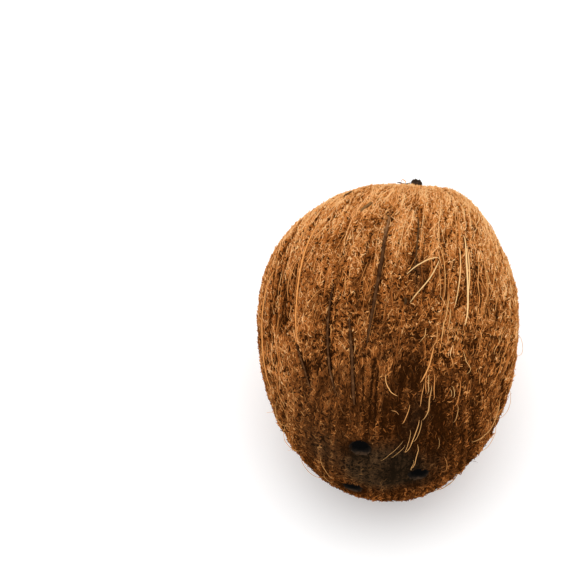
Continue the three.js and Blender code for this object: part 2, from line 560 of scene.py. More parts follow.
# %% Pale and dark parts
SHADE_ALONG = [  # how pale the husk is from the eye end (0) to the apex (1), by station in mm
    (-69, 0.20), (-60, 0.22), (-48, 0.33), (-30, 0.43), (-8, 0.50),
    (12, 0.66), (34, 0.85), (55, 0.90), (76, 0.60),
]
PATCHES = [  # station and angle of its middle, reach along and round the nut in mm, how much paler
    (-11, 79, 7, 3.5, -0.22), (-20, 84.4, 2, 2, -0.30), (26, 104.6, 2.5, 1.2, -0.35),
    (-42, 103.2, 5, 1.2, -0.15), (-64.6, 44, 4, 4.5, -0.42), (-66.4, -12, 1.5, 4.5, -0.25),
    (-66.6, 30, 1.6, 5, -0.25), (4, 84, 9, 6, 0.08), (-66.3, 136, 1.6, 2.5, -0.30),
    (-42, 118, 14, 22, 0.075), (39, 118, 2, 1.5, -0.25), (-42, 77, 13, 4, -0.16),
    (-59, 98, 4, 7, -0.08), (-26, 98, 8, 6, -0.07), (-62, 56, 4, 6, -0.20),
    (-67.2, -22, 1.5, 3, -0.30), (-59, 46, 5, 5, -0.12), (-16, 66, 9, 6, 0.11),
    (-34, 111, 7, 5, 0.09), (9, 90, 9, 4, 0.09), (17, 121, 8, 9, 0.07), (-7, 114, 7, 5, 0.06),
    (-40, 52, 6, 5, -0.07), (-52, 26, 10, 14, -0.05), (-50, 84, 10, 10, -0.13),
    (-40, 94, 6, 6, -0.08), (-30, 63, 14, 7, 0.14), (-44, 57, 5, 5, 0.16), (-42, 132, 8, 7, -0.10),
    (-2, 104, 10, 8, 0.08), (-65, 114, 4, 5, 0.12), (-63, 41, 5, 6, -0.08), (-54, 60, 7, 5, -0.32),
    (-63, 50, 4, 7, -0.22), (24, 67, 16, 9, 0.12), (10, 81, 12, 3, 0.20), (-50, 152, 14, 12, 0.08),
    (-8, 30, 24, 14, 0.08), (0, 128, 30, 12, -0.04), (-62, 108, 6, 10, -0.10),
    (24, 35, 16, 10, 0.10), (30, 128, 20, 14, 0.10), (-30, 150, 30, 20, 0.19),
    (-30, 250, 16, 14, -0.16), (18, 300, 20, 12, -0.12), (42, 230, 16, 14, 0.08),
    (-12, 12, 22, 8, 0.08),
]
DARKER_BY_AN_EYE = 0.25
SHADOW_OF_AN_EYE = (0.85, 1.5)  # fully dark up to the first distance, in eye radii, and not past the second


def near_an_eye(full, none):
    """1 at an eye and 0 away from it, fading between two distances in eye radii."""
    return fading(EYE_RADIUS * full, EYE_RADIUS * none, to_eye)


shade = with_spots(np.interp(station / MM, *zip(*SHADE_ALONG)), PATCHES)
shade = np.clip(shade - DARKER_BY_AN_EYE * near_an_eye(*SHADOW_OF_AN_EYE), 0, 1)
print("shade from", round(shade.min(), 2), "to", round(shade.max(), 2))

# %% Faded, matted and felted parts
WORN_POLE = GIRTH_MIDDLE - LONG * EYE_REACH + SIDE * EYE_LEAN[0] + UP * (EYE_LEAN[1] + 4 * MM)
FADED_REACH = (8 * MM, 19 * MM)  # how far round the worn pole the coir is fully faded, and faded at all
MOST_FADED = 0.9
FADED_SPOTS = [  # station, angle, reach along and round the nut in mm, how much more faded
    (-64, 158, 5, 9, 0.6), (-60, 68, 6, 4, 0.5), (-52, 150, 14, 16, 0.2), (-6, 79, 6, 2.5, 0.5),
    (21, 93, 3, 2, 0.5), (-45, 108, 22, 36, 0.14), (-66.6, 18, 2.5, 8, 0.5), (-66.7, -22, 1.5, 4, 0.5),
]
MATTED_FROM = (-60 * MM, -40 * MM)  # stations where the coir is fully matted, and where it begins to be
COMBED_FLANKS = [(-18, 148, 28, 24, -1.6), (-22, 24, 20, 15, -1.2)]  # and how much less tangled
FELTED_FROM = (8 * MM, 42 * MM)  # stations of the apex shoulder, where the coir is smooth with few holes
SMOOTH_BY_EYES = (-63 * MM, -48 * MM)  # stations where it is smooth again, round the eyes
RUBBED_SPOT = (-50, 108, 14, 22)  # a smooth place above the eyes: station, angle and reaches
RUBBED_FELT = 0.9
EYE_END_FELT = 0.6

faded = MOST_FADED - MOST_FADED * smooth_step(
    *FADED_REACH, np.linalg.norm(skin_places - np.array(WORN_POLE), axis=1)
)
faded = np.minimum(with_spots(faded, FADED_SPOTS), 1)
rubbed = bump_at(*RUBBED_SPOT)
tangled = with_spots(fading(*MATTED_FROM, station) * (1 - rubbed), COMBED_FLANKS)
felted = np.maximum(RUBBED_FELT * rubbed, EYE_END_FELT * fading(*SMOOTH_BY_EYES, station))
felted = np.maximum(smooth_step(*FELTED_FROM, station), felted)
print("points that are more than half faded:", int((faded > 0.5).sum()))

# %% All the facts, written on the skin
BARE_BY_AN_EYE = (0.82, 1.08)  # distances in eye radii, as for its shadow
HOLLOW_OF_AN_EYE = (0.65, 1.05)
SMOOTH_BY_AN_EYE = (0.75, 1.3)
BARE_BY_A_SEAM = 1.1
WORN_SMOOTH = 0.75  # how much of the relief is lost where the husk is faded
TIP_FROM = (60 * MM, 71 * MM)  # stations where the tuft begins, and where it is full

facts = dict(shade=shade, seam=seam, faded=faded, tangled=tangled, felted=felted, grain=grain, lie=lie)
bare = np.maximum(seam * BARE_BY_A_SEAM, near_an_eye(*BARE_BY_AN_EYE))
facts["cover"] = np.clip(1 - bare, 0, 1)  # where fibres grow
facts["rough"] = (1 - near_an_eye(*SMOOTH_BY_AN_EYE)) * (1 - WORN_SMOOTH * faded)
facts["hollow"] = near_an_eye(*HOLLOW_OF_AN_EYE)
facts["tip"] = smooth_step(*TIP_FROM, station)
for name, values in facts.items():
    write(skin_mesh, name, values)
print("facts on each point of the skin:", ", ".join(facts))

# %% [markdown]
# ## Relief of the skin
# Torn coir leaves long low ridges, pits between them and a sunken seam here and there. A node tree
# adds them as heights above the smooth skin: broad lumps, grain that runs with the nut, and small
# pits. The grain is noise read in stretched numbers, so its spots become streaks.

# %% Lines, holes and furrows
HOLES_PER_METRE = 850.0
HOLE_EDGE = 0.44  # where the noise falls under this, a hole starts
HOLE_SHARPNESS = 12.0
FURROWS_PER_GRAIN = 0.24
FURROW_THINNESS = 10.0
BREAKS_PER_GRAIN = 0.11  # how often furrows fade out and come back
BREAK_SHARPNESS = 3.8
BREAK_SHARE = 1.2  # the higher, the more of the nut has no furrows
MATTING = 0.35  # how much of the grain is lost where the coir is matted
FELTING = 0.65  # how much fainter the pin-holes are where it is felted


def thread_lines(tree, place, per_unit, thinness):
    """Thin wandering lines, 1 on a line and 0 between them: the places where a noise is near its middle."""
    noise = add(tree, "ShaderNodeTexNoise", place, per_unit, 1.0, 0.5)
    return maths("MAXIMUM", maths("ABSOLUTE", noise - 0.5) * -thinness + 1.0, 0.0)


def pin_holes(tree, place):
    """1 in the middle of a pin-hole between the fibres, and 0 outside it."""
    noise = add(tree, "ShaderNodeTexNoise", place, HOLES_PER_METRE, 1.0, 0.5)
    return maths("MULTIPLY", noise * -1.0 + HOLE_EDGE, HOLE_SHARPNESS, clamp=True)


def furrows(tree, grain):
    """Long thin furrows that run with the nut, and fade out and come back."""
    noise = add(tree, "ShaderNodeTexNoise", grain, BREAKS_PER_GRAIN, 1.0, 0.5)
    strength = maths("MINIMUM", maths("MAXIMUM", noise * BREAK_SHARPNESS - BREAK_SHARE, 0.0), 1.0)
    return thread_lines(tree, grain, FURROWS_PER_GRAIN, FURROW_THINNESS) * strength


# %% Relief tree
def relief_tree():
    tree = NodeTree(
        "husk relief",
        lumps=0.35 * MM,
        cords=0.65 * MM,
        ridges=0.7 * MM,
        pits=0.7 * MM,
        furrows=0.8 * MM,
        seams=1.2 * MM,
        eye_hollows=0.9 * MM,
        lumps_per_metre=110.0,
        pits_per_metre=600.0,
        cords_per_grain=0.22,
        ridges_per_grain=0.62,
    )
    place = tree.add("GeometryNodeInputPosition")
    out = tree.add("GeometryNodeInputNormal")
    lump = tree.noise(place, tree.input("lumps_per_metre"), 1.0) * 2.0 - 1.0
    grain_place = tree.read("grain", "FLOAT_VECTOR")
    cord = tree.noise(grain_place, tree.input("cords_per_grain"), 1.0) * 2.0 - 1.0
    ridge = tree.noise(grain_place, tree.input("ridges_per_grain"), 3.0, 0.6) * 2.0 - 1.0
    pit = tree.noise(place, tree.input("pits_per_metre"), 3.0, 0.65) * 2.0 - 1.0
    combed = tree.read("tangled") * -MATTING + 1.0
    furrow = furrows(tree.tree, grain_place) * combed
    height = lump * tree.input("lumps") + cord * combed * tree.input("cords")
    height = height + ridge * tree.input("ridges") + pit * tree.input("pits")
    height = (height - furrow * tree.input("furrows")) * tree.read("rough")
    height = height - tree.read("seam") * tree.input("seams")
    height = height - tree.read("hollow") * tree.input("eye_hollows")
    moved = tree.add("ShaderNodeSeparateXYZ", place + out * height)
    above_table = maths("MAXIMUM", moved.other("Z"), 0.0)
    # painted shade and light: the relief height is kept so that the finishes draw pits darker and ridge tops
    # paler
    geometry = tree.store(tree.input("Geometry"), "raised", pit + ridge + cord)
    geometry = tree.add(
        "GeometryNodeSetPosition", geometry, None, vector(tree.tree, moved, moved.other("Y"), above_table)
    )
    tree.finish(geometry)
    return tree

# %% [markdown]
# ## Two coir finishes
# Coir is dull and dry. Close to, it is never one brown: fresh breaks are pale straw and the mat is
# orange. The skin's finish mixes those by finer noise, and paints shade by its relief: pits, holes and
# furrows are drawn nearly black and ridge tops paler. The loose fibres carry two numbers each, a tone
# from dark to pale and a hue from orange to straw, and their finish turns the two into a colour.

# %% Tones of the skin
DRY_ROUGHNESS = 0.9
SKIN_TONES = [  # from the bottom of a pit to the top of a ridge: painted shade in the pits, painted light on the ridge tops
    (0.00, (0.024, 0.007, 0.0015)),
    (0.25, (0.095, 0.028, 0.0055)),
    (0.50, (0.300, 0.089, 0.017)),
    (0.75, (0.610, 0.222, 0.051)),
    (1.00, (0.830, 0.420, 0.140)),
]
FADED_TONES = [  # round the eyes
    (0.00, (0.010, 0.006, 0.003)),
    (0.25, (0.046, 0.024, 0.011)),
    (0.50, (0.140, 0.072, 0.030)),
    (1.00, (0.400, 0.240, 0.110)),
]


# %% Nodes that the finishes share
def tone_ramp(tree, tone, stops):
    """A colour from dark to pale, at a tone from 0 to 1."""
    made = add(tree, "ShaderNodeValToRGB", tone)
    ramp = made.socket.node.color_ramp
    while len(ramp.elements) < len(stops):
        ramp.elements.new(1)
    for element, (place, colour) in zip(ramp.elements, stops):
        element.position = place
        element.color = (*colour, 1)
    return made


def dry_material(name):
    """A material with no gloss, with its tree and shader."""
    made, tree, shader = new_material(name, DRY_ROUGHNESS)
    shader.inputs["Specular IOR Level"].default_value = 0.0
    return made, tree, shader


def number_on(tree, name, vector_value=False):
    made = add(tree, "ShaderNodeAttribute", attribute_name=name)
    return made.other("Vector") if vector_value else made.other("Fac")


def blended(tree, share, first, second):
    """Two colours mixed, from all of the first at 0 to all of the second at 1."""
    mixed = tree.nodes.new("ShaderNodeMix")
    mixed.data_type = "RGBA"
    for socket, plug in zip([s for s in mixed.inputs if s.enabled], (share, first, second)):
        tree.links.new(plug.socket, socket)
    return Flow(next(s for s in mixed.outputs if s.enabled))


def wire(tree, shader, colour, bumps=None, strength=0.5, depth=0.2 * MM):
    """Plugs a colour into the shader, and small bumps if there are any."""
    tree.links.new(colour.socket, shader.inputs["Base Color"])
    if bumps is not None:
        bump = add(tree, "ShaderNodeBump", strength, depth, None, bumps)
        tree.links.new(bump.socket, shader.inputs["Normal"])


# %% Finish of the skin
THREADS = ((700.0, 9.0), (1100.0, 7.0))  # two kinds of thread: how many per metre, and how thin
GRAIN_THREADS = (0.9, 9.0)  # and one kind that runs with the grain
MOTTLES_PER_METRE = 1300.0
FADED_CALM = 0.5  # how much of the detail is lost where the husk is faded
# the weights of the relief height, the holes and the furrows are painted shade in pits and furrows and
# painted light on ridge tops; the others are the coir's own colour
TONE_AND_PAINTED_SHADE = dict(shade=0.70, raised=0.24, threads=0.26, mottle=0.6, seam=0.4, holes=0.6, furrows=0.34)
PAINTED_SHADE_UNDER_FIBRES = 0.12  # painted shade: all of the skin, which shows in the gaps under the fibres, is drawn a little darker than the fibres on it


def husk_material():
    made, tree, shader = dry_material("coir husk")
    place = add(tree, "ShaderNodeTexCoord").other("Object")
    grain_place = number_on(tree, "grain", vector_value=True)
    coarse, fine = (thread_lines(tree, place, *kind) for kind in THREADS)
    threads = maths("MAXIMUM", coarse, fine)
    threads = maths("MAXIMUM", threads, thread_lines(tree, grain_place, *GRAIN_THREADS))
    faded_here = number_on(tree, "faded")
    calmer = faded_here * -FADED_CALM + 1.0
    mottle = (add(tree, "ShaderNodeTexNoise", place, MOTTLES_PER_METRE, 3.0, 0.75) - 0.5) * calmer
    holes = pin_holes(tree, place) * (number_on(tree, "felted") * -FELTING + 1.0)
    combed = number_on(tree, "tangled") * -MATTING + 1.0
    # painted shade in the pits, holes and furrows, and painted light on the ridges, mixed into the coir's own
    # tone
    tone = number_on(tree, "shade") * TONE_AND_PAINTED_SHADE["shade"] + number_on(tree, "raised") * TONE_AND_PAINTED_SHADE["raised"]
    tone = tone + threads * TONE_AND_PAINTED_SHADE["threads"] + mottle * TONE_AND_PAINTED_SHADE["mottle"]
    tone = tone - number_on(tree, "seam") * TONE_AND_PAINTED_SHADE["seam"] - holes * TONE_AND_PAINTED_SHADE["holes"] - PAINTED_SHADE_UNDER_FIBRES
    tone = tone - furrows(tree, grain_place) * calmer * calmer * combed * TONE_AND_PAINTED_SHADE["furrows"]
    orange = tone_ramp(tree, tone, SKIN_TONES)
    grey = tone_ramp(tree, tone, FADED_TONES)
    colour = blended(tree, faded_here, orange, grey)
    wire(tree, shader, colour, threads * 0.6 + mottle, strength=0.7, depth=0.3 * MM)
    return made


# %% Finish of the loose fibres
FIBRE_TONES = [
    (0.00, (0.034, 0.010, 0.0015)),
    (0.25, (0.160, 0.047, 0.0100)),
    (0.50, (0.470, 0.150, 0.031)),
    (0.75, (0.790, 0.325, 0.088)),
    (1.00, (0.940, 0.550, 0.240)),
]
STRAW_TONES = [
    (0.00, (0.026, 0.013, 0.006)),
    (0.25, (0.120, 0.060, 0.023)),
    (0.50, (0.360, 0.185, 0.066)),
    (0.75, (0.700, 0.400, 0.150)),
    (1.00, (0.930, 0.650, 0.310)),
]


def fibre_material():
    made, tree, shader = dry_material("coir fibre")
    tone = number_on(tree, "tone")
    orange = tone_ramp(tree, tone, FIBRE_TONES)
    straw = tone_ramp(tree, tone, STRAW_TONES)
    wire(tree, shader, blended(tree, number_on(tree, "hue"), orange, straw))
    return made


husk_finish = husk_material()
fibre_finish = fibre_material()
print("finishes of the coir:", husk_finish.name, "and", fibre_finish.name)

# %% The skin, with its relief
skin = grow("husk_skin", skin_mesh, relief_tree(), material=husk_finish)
skin_rays = rays_onto(skin.data)
print("lowest point of the skin, mm:", round(min(v.co.z for v in skin.data.vertices) / MM, 2))

# %% [markdown]
# ## Short coir
# Four kinds of short fibre cover the skin: a flat felt, curled crumbs that stand up out of it, short
# straight chips, and combed ones that follow the grain. Particles could grow them, but they don't
# leave Blender as a shape. So one node tree scatters points on the skin, makes a few copies of each,
# moves those copies onto an arc that lies on the skin, and joins them into a thin three-sided tube.

# %% From points to fibres
SIDES_OF_A_FIBRE = 3
MAP_SPOT = 0.02  # how large a fibre is on its map, where tone runs across and hue runs up
FIBRE_CLEARANCE = 1.3  # how far a fibre's middle keeps from the table, in radii


def numbered(tree, points):
    """Each point gets the number of the fibre that it will become."""
    return tree.store(points, "fibre", tree.add("GeometryNodeInputIndex"), "INT")


def copied_along(tree, points):
    """Each point is copied into all the points of its fibre, numbered from 0 to 1 along it."""
    copies = tree.add(
        "GeometryNodeDuplicateElements", points, None, tree.input("points_each"), domain="POINT"
    )
    step = copies.other("Duplicate Index")
    return tree.store(copies, "along", step / (tree.input("points_each") - 1.0))


def spun(tree, points, radius, sides=SIDES_OF_A_FIBRE):
    """Joins the points of each fibre into a closed tube. They carry fibre, along, tone and hue."""
    points = tree.store(points, "half_width", radius)
    lines = tree.add("GeometryNodePointsToCurves", points, tree.read("fibre", "INT"), tree.read("along"))
    ring = tree.add("GeometryNodeCurvePrimitiveCircle", sides, 1.0)
    ring = tree.store(ring, "across", tree.add("GeometryNodeInputIndex") / float(sides))
    tube = tree.add("GeometryNodeCurveToMesh", lines, ring, tree.read("half_width"), True)
    spot = vector(tree.tree, tree.read("tone"), tree.read("hue")) * (1 - 2 * MAP_SPOT)
    spot = spot + vector(tree.tree, tree.read("across"), tree.read("along")) * MAP_SPOT
    spot = spot + vector(tree.tree, MAP_SPOT / 2, MAP_SPOT / 2)
    tree.finish(tree.store(tube, "OFBake", spot, "FLOAT2", "CORNER"))


def kept_above_table(tree, place):
    parts = tree.add("ShaderNodeSeparateXYZ", place)
    height = maths("MAXIMUM", parts.other("Z"), tree.input("radius") * FIBRE_CLEARANCE)
    return vector(tree.tree, parts, parts.other("Y"), height)


# %% Length, thickness and colour of each fibre
THICKNESSES = (0.6, 1.35)  # of the thinnest and the thickest fibre, as shares of the usual one
END_THINNING = 0.6
STRAW_RARITY = 2.5  # the higher, the fewer fibres are the colour of straw
CLUMPS_PER_METRE = 260.0
CLUMP_CONTRAST = 0.4  # how much paler or darker whole clumps of fibres are
FADED_EVENNESS = 0.8  # how much more alike the fibres are where the husk is faded, and where it is felted
FELTED_EVENNESS = 0.45


def own_length(tree, salt):
    """A fibre's length, somewhere from the shortest to the longest."""
    most_extra = tree.input("longest") - tree.input("shortest")
    return tree.input("shortest") + most_extra * tree.random(0.0, 1.0, salt)


def tapered(tree):
    """A fibre's radius: its own share of the usual one, and thinner towards both ends."""
    from_middle = tree.read("along") * 2.0 - 1.0
    thinner = from_middle * from_middle * -END_THINNING + 1.0
    return tree.input("radius") * tree.random(*THICKNESSES, 11) * thinner


def with_colour(tree, points, shade, faded, felted=0.0):
    """Stores each fibre's tone and hue, from how pale and how faded the husk is where it grows."""
    clump = tree.noise(tree.read("root", "FLOAT_VECTOR"), CLUMPS_PER_METRE) - 0.5
    own = tree.random(-1.0, 1.0, 12) * tree.input("tone_spread") + tree.input("tone")
    own = own + clump * CLUMP_CONTRAST
    tone = shade + own * (faded * -FADED_EVENNESS - felted * FELTED_EVENNESS + 1.0)
    points = tree.store(points, "tone", maths("MINIMUM", maths("MAXIMUM", tone, 0.0), 1.0))
    straw = maths("POWER", tree.random(0.0, 1.0, 13), STRAW_RARITY) * tree.input("straw") + faded
    return tree.store(points, "hue", maths("MINIMUM", straw, 1.0))


# %% Where short fibres stand
LOST_IN_FURROWS = 0.85  # the share of the fibres that is missing there
LOST_WHERE_FADED = 0.78


def rooted(tree):
    """Points scattered on the skin, few in its holes and furrows. Each keeps its root and the way out."""
    density = tree.input("per_square_metre") * tree.read("cover")
    scattered = tree.add(
        "GeometryNodeDistributePointsOnFaces", tree.input("Geometry"), None, density, tree.input("seed")
    )
    points = tree.store(scattered, "out", scattered.other("Normal"), "FLOAT_VECTOR")
    root = tree.add("GeometryNodeInputPosition")
    combed = tree.read("tangled") * -MATTING + 1.0
    furrow = furrows(tree.tree, tree.read("grain", "FLOAT_VECTOR")) * combed
    hole = pin_holes(tree.tree, root) * (tree.read("felted") * -FELTING + 1.0)
    gap = hole + furrow * LOST_IN_FURROWS + tree.read("faded") * LOST_WHERE_FADED
    in_gap = maths("GREATER_THAN", gap, tree.random(0.0, 1.0, 6, by_point=True))
    points = tree.add("GeometryNodeDeleteGeometry", points, in_gap, domain="POINT")
    points = tree.store(numbered(tree, points), "root", root, "FLOAT_VECTOR")
    return tree.store(points, "furrow", furrow)


# %% Which way a short fibre lies
FELTED_ORDER = 0.6  # how much less astray the fibres lie where the coir is felted
TANGLED_STRAY = 0.5  # and how much more where it is tangled, in radians


def heading(tree, out):
    """The fibre's own way, astray from the grain by a random turn, and the way that it bends to."""
    lie = tree.read("lie", "FLOAT_VECTOR")
    forward = directions("NORMALIZE", lie - out * directions("DOT_PRODUCT", lie, out))
    astray = tree.input("stray") * (tree.read("felted") * -FELTED_ORDER + 1.0)
    astray = astray + tree.read("tangled") * TANGLED_STRAY + tree.read("faded")
    turn = tree.random(-1.0, 1.0, 1) * astray
    ahead = forward * maths("COSINE", turn)
    ahead = ahead + directions("CROSS_PRODUCT", out, forward) * maths("SINE", turn)
    beside = directions("CROSS_PRODUCT", out, ahead) * maths("SIGN", tree.random(-1.0, 1.0, 2))
    return ahead, beside


# %% The arc of a short fibre
LEAST_BEND = 0.05  # a share of the most bend. With none at all, the arc's sum would divide by nothing
WOBBLES_PER_METRE = 900.0


def on_an_arc(tree):
    """Where a fibre's points go: along an arc through its root, with a wobble that is its own."""
    out = tree.read("out", "FLOAT_VECTOR")
    ahead, beside = heading(tree, out)
    along = tree.read("along")
    length = own_length(tree, 3)
    bend = tree.random(LEAST_BEND, 1.0, 4) * tree.input("bend")
    swing = bend * (along - 0.5)
    ahead = ahead * (maths("SINE", swing) / bend * length)
    beside = beside * ((maths("COSINE", swing) * -1.0 + 1.0) / bend * length)
    rise = along * along * length * tree.random(0.0, 1.0, 5) * tree.input("rise") - tree.input("sunk")
    place = tree.read("root", "FLOAT_VECTOR") + ahead + beside + out * rise
    own_place = place + vector(tree.tree, tree.read("fibre", "INT") * 0.37)
    wobble = tree.noise(own_place, WOBBLES_PER_METRE, 1.0).other("Color") - (0.5, 0.5, 0.5)
    return place + wobble * (tree.input("curl") * length)


# %% Tree for short fibres on a surface
# painted shade: how much darker a fibre in a furrow is drawn
PAINTED_SHADE_IN_FURROWS = 0.24


def fibre_tree():
    tree = NodeTree(
        "coir fibres",
        per_square_metre=1e5,
        points_each=4,
        shortest=1.0 * MM,
        longest=3.0 * MM,
        radius=0.15 * MM,
        stray=1.0,
        bend=2.0,
        rise=0.3,
        sunk=0.1 * MM,
        curl=0.2,
        tone=0.0,
        tone_spread=0.2,
        painted_shade_by_relief=0.38,
        straw=0.3,
        seed=1,
    )
    points = copied_along(tree, rooted(tree))
    points = tree.add("GeometryNodeSetPosition", points, None, kept_above_table(tree, on_an_arc(tree)))
    # painted shade and light: a fibre is drawn darker where the relief is low and in furrows, and paler on
    # ridges
    shade = tree.read("shade") + tree.read("raised") * tree.input("painted_shade_by_relief")
    shade = shade - tree.read("furrow") * PAINTED_SHADE_IN_FURROWS
    points = with_colour(tree, points, shade, tree.read("faded"), tree.read("felted"))
    spun(tree, points, tapered(tree))
    return tree


short_fibres = fibre_tree()
print("nodes in the tree for short fibres:", len(short_fibres.tree.nodes))

# %% Felt, crumbs, chips and combed fibres
felt = grow(
    "coir_felt", skin.data, short_fibres, material=fibre_finish,
    per_square_metre=4.4e5, points_each=3, shortest=1.0 * MM, longest=2.8 * MM, radius=0.19 * MM,
    stray=1.5, bend=2.2, rise=0.15, sunk=-0.02 * MM, curl=0.15,
    tone=-0.08, tone_spread=0.22, straw=0.3, seed=3,
)
crumbs = grow(
    "coir_crumbs", skin.data, short_fibres, material=fibre_finish,
    per_square_metre=4.6e5, points_each=3, shortest=0.9 * MM, longest=2.2 * MM, radius=0.23 * MM,
    stray=1.4, bend=3.4, rise=0.45, sunk=-0.08 * MM, curl=0.1,
    tone=0.10, tone_spread=0.33, straw=0.5, seed=5,
)
chips = grow(
    "coir_chips", skin.data, short_fibres, material=fibre_finish,
    per_square_metre=7.8e5, points_each=2, shortest=0.6 * MM, longest=1.5 * MM, radius=0.23 * MM,
    stray=1.5, bend=0.3, rise=0.4, sunk=-0.05 * MM, curl=0.1,
    tone=0.07, tone_spread=0.37, straw=0.5, seed=9,
)
combed = grow(
    "coir_combed", skin.data, short_fibres, material=fibre_finish,
    per_square_metre=2.6e5, points_each=4, shortest=1.6 * MM, longest=5.0 * MM, radius=0.18 * MM,
    stray=0.4, bend=0.9, rise=0.14, sunk=0.0, curl=0.08, tone=0.02, tone_spread=0.26, straw=0.5, seed=7,
)

# %% [markdown]
# ## Long strands
# A coconut's longest fibres run far along the nut. They can't be short arcs on one spot, because
# they follow the nut's curve. So this tree walks along each strand from one station to the
# next, and at every step casts a ray from the nut's middle line out onto the skin, as a hand would
# lay a thread on a ball.

# %% Rays from the middle line, by nodes
def middle_ray(tree, station, angle):
    """A point of the leaning middle line, and the way out from it at an angle in radians."""
    past_girth = maths("GREATER_THAN", station, 0.0)
    share = maths("ABSOLUTE", station) / (past_girth * (APEX_REACH - EYE_REACH) + EYE_REACH)
    share = share * share
    lean_aside = (past_girth * (APEX_LEAN[0] - EYE_LEAN[0]) + EYE_LEAN[0]) * share
    lean_up = (past_girth * (APEX_LEAN[1] - EYE_LEAN[1]) + EYE_LEAN[1]) * share
    side, up, along_nut = (vector(tree.tree, *way) for way in (SIDE, UP, LONG))
    middle = along_nut * station + side * lean_aside + up * lean_up + tuple(GIRTH_MIDDLE)
    return middle, side * maths("COSINE", angle) + up * maths("SINE", angle)


# %% Path of each strand
STRAND_MIDDLES = (-38 * MM, 66 * MM)  # stations between which their middles lie
STRAND_LIMITS = (-52 * MM, 71 * MM)  # and which none of them passes
SWAYS_PER_METRE = 60.0


def strand_path(tree):
    """The station of each point of a strand, and its angle in radians, which drifts with the grain."""
    from_middle = tree.read("along") - 0.5
    station = tree.random(*STRAND_MIDDLES, 2) + own_length(tree, 1) * from_middle
    station = maths("MAXIMUM", maths("MINIMUM", station, STRAND_LIMITS[1]), STRAND_LIMITS[0])
    own_path = vector(tree.tree, station * SWAYS_PER_METRE, tree.read("fibre", "INT") * 0.71)
    own_sway = tree.noise(own_path, 1.0, 1.0) - 0.5
    start_angle = tree.random(-math.pi, math.pi, 3)
    from_free = maths("SINE", (start_angle - math.radians(DRIFT_FREE_ANGLE)) * 0.5)
    drift = maths("SQRT", from_free * from_free + LEAST_DRIFT) * math.radians(DRIFT) / MM
    angle = start_angle - drift * station + own_sway * tree.input("sway") * 4.0
    return station, angle + from_middle * tree.random(-1.0, 1.0, 4) * tree.input("slant")


# %% Tree for strands that run along the nut
LEAST_HEIGHT = 0.12 * MM  # above the skin, at a strand's two ends
STRANDS_FADE_FROM = -48 * MM  # the station where they begin to turn dull towards the eyes
STRANDS_FADE_OVER = 14 * MM


def strand_tree():
    tree = NodeTree(
        "long strands",
        strands=400,
        points_each=16,
        shortest=12 * MM,
        longest=50 * MM,
        radius=0.14 * MM,
        slant=0.15,
        sway=0.12,
        lift=0.5 * MM,
        tone=0.1,
        tone_spread=0.2,
        straw=0.6,
        seed=1,
    )
    points = numbered(tree, tree.add("GeometryNodePoints", tree.input("strands")))
    points = copied_along(tree, points)
    station, angle = strand_path(tree)
    middle, ray = middle_ray(tree, station, angle)
    hit = tree.add("GeometryNodeRaycast", tree.input("Geometry"), tree.read("shade"), middle, ray, 1.0)

    # The two ends lie close to the skin and the middle stands off a little.
    arch = maths("SINE", tree.read("along") * math.pi)
    height = arch * tree.random(0.1, 1.0, 5) * tree.input("lift") + LEAST_HEIGHT
    place = hit.other("Hit Position") + ray * height
    points = tree.add("GeometryNodeSetPosition", points, None, kept_above_table(tree, place))
    points = tree.store(points, "root", place, "FLOAT_VECTOR")
    near_eyes = maths("MULTIPLY", station - STRANDS_FADE_FROM, -1 / STRANDS_FADE_OVER, clamp=True)
    points = with_colour(tree, points, hit.other("Attribute"), near_eyes)
    spun(tree, points, tapered(tree))
    return tree


strands_along = strand_tree()
long_strands = grow(
    "long_strands", skin.data, strands_along, material=fibre_finish,
    strands=150, points_each=16, shortest=15 * MM, longest=45 * MM, radius=0.17 * MM,
    slant=0.05, sway=0.012, lift=0.15 * MM, tone=0.06, tone_spread=0.16, straw=0.4, seed=21,
)
split_strands = grow(
    "split_strands", skin.data, strands_along, material=fibre_finish,
    strands=900, points_each=6, shortest=4 * MM, longest=12 * MM, radius=0.16 * MM,
    slant=0.10, sway=0.015, lift=0.3 * MM, tone=0.05, tone_spread=0.24, straw=0.5, seed=23,
)
